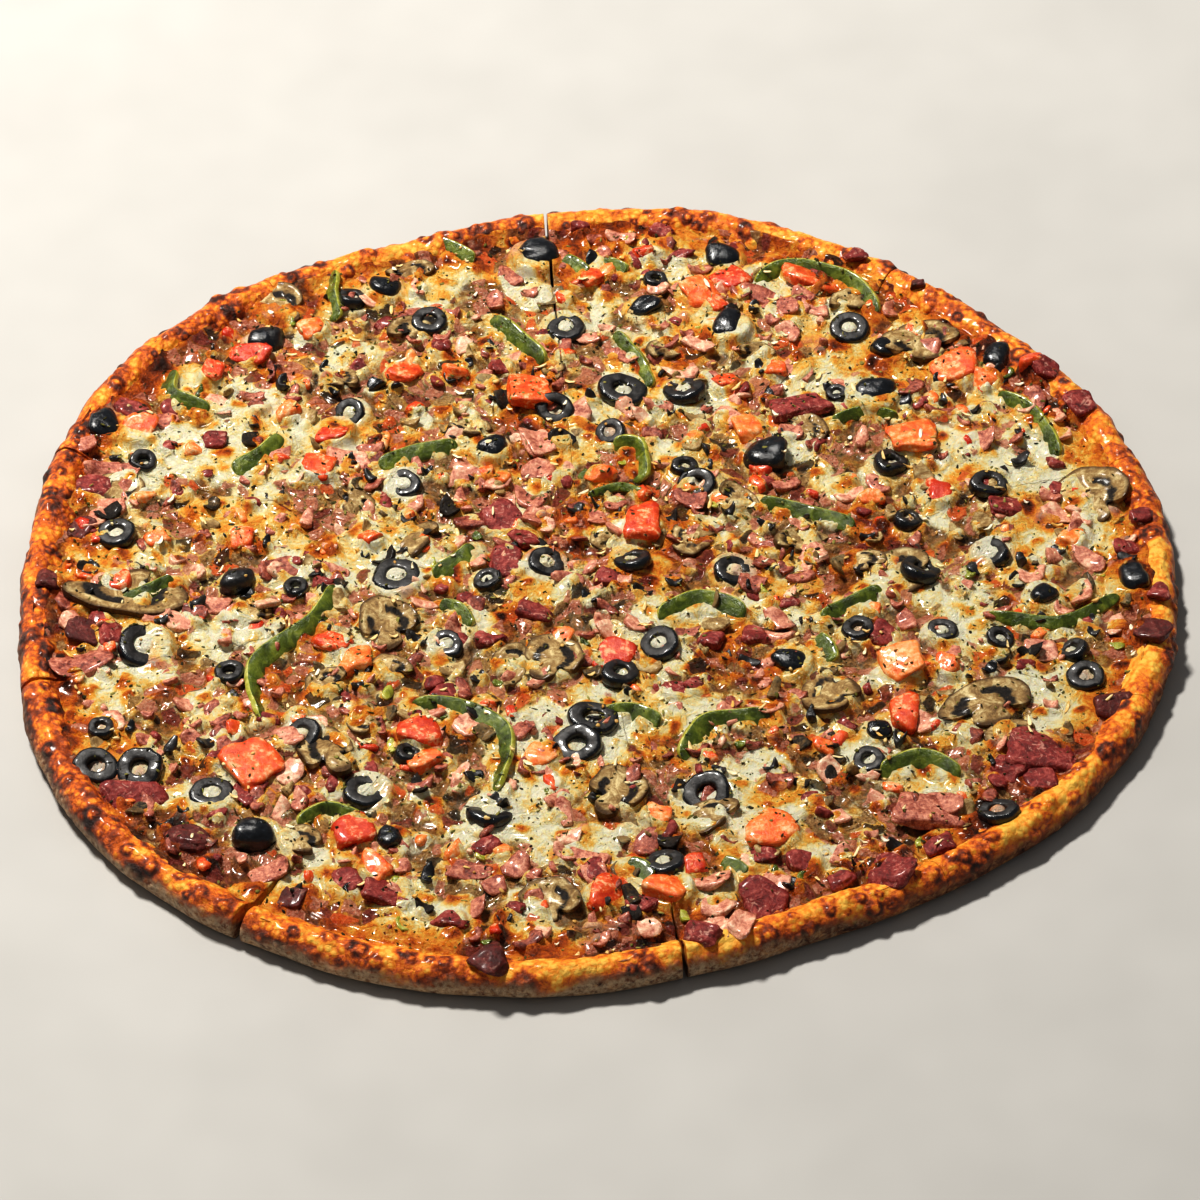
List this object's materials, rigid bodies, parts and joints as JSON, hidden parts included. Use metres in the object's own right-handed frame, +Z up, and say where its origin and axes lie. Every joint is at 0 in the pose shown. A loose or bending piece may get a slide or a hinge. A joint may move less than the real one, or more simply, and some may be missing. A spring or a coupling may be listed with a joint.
{
  "type": "pizza",
  "caption": "Large loaded pizza on a thin hand-stretched base, cut in slices that keep its shape, with olives, peppers, mushrooms, tomato, ham and bacon on melted cheese",
  "frame": {"origin": "centre of the outline's box, on the underside", "axes": "+Z up through the toppings, +X to the right of the picture, -Y towards the viewer of the picture"},
  "size_m": [0.4042, 0.3842, 0.0183],
  "materials": {
    "baked_crust": "matte",
    "melted_cheese": "satin",
    "black_olive": "satin",
    "green_pepper": "satin",
    "mushroom": "matte",
    "tomato": "satin",
    "bacon": "matte",
    "ham": "matte"
  },
  "bodies": {
    "root": {"crust_slice_01": "baked_crust", "crust_slice_02": "baked_crust", "crust_slice_03": "baked_crust", "crust_slice_04": "baked_crust", "crust_slice_05": "baked_crust", "crust_slice_06": "baked_crust", "crust_slice_07": "baked_crust", "crust_slice_08": "baked_crust", "crust_slice_09": "baked_crust", "crust_slice_10": "baked_crust", "cheese_slice_01": "melted_cheese", "cheese_slice_02": "melted_cheese", "cheese_slice_03": "melted_cheese", "cheese_slice_04": "melted_cheese", "cheese_slice_05": "melted_cheese", "cheese_slice_06": "melted_cheese", "cheese_slice_07": "melted_cheese", "cheese_slice_08": "melted_cheese", "cheese_slice_09": "melted_cheese", "cheese_slice_10": "melted_cheese", "olive_ring_01": "black_olive", "olive_ring_02": "black_olive", "olive_ring_03": "black_olive", "olive_ring_04": "black_olive", "olive_ring_05": "black_olive", "olive_ring_06": "black_olive", "olive_ring_07": "black_olive", "olive_ring_08": "black_olive", "olive_ring_09": "black_olive", "olive_end_01": "black_olive", "olive_end_02": "black_olive", "olive_end_03": "black_olive", "olive_end_04": "black_olive", "olive_end_05": "black_olive", "pepper_strip_01": "green_pepper", "pepper_strip_02": "green_pepper", "pepper_strip_03": "green_pepper", "pepper_strip_04": "green_pepper", "pepper_strip_05": "green_pepper", "pepper_strip_06": "green_pepper", "pepper_strip_07": "green_pepper", "pepper_strip_08": "green_pepper", "pepper_strip_09": "green_pepper", "pepper_strip_10": "green_pepper", "pepper_strip_11": "green_pepper", "pepper_strip_12": "green_pepper", "mushroom_slice_01": "mushroom", "mushroom_slice_02": "mushroom", "mushroom_slice_03": "mushroom", "mushroom_slice_04": "mushroom", "mushroom_slice_05": "mushroom", "mushroom_slice_06": "mushroom", "mushroom_slice_07": "mushroom", "tomato_piece_01": "tomato", "tomato_piece_02": "tomato", "tomato_piece_03": "tomato", "tomato_piece_04": "tomato", "bacon_piece_01": "bacon", "bacon_piece_02": "bacon", "ham_piece_01": "ham"}
  },
  "joints": []
}
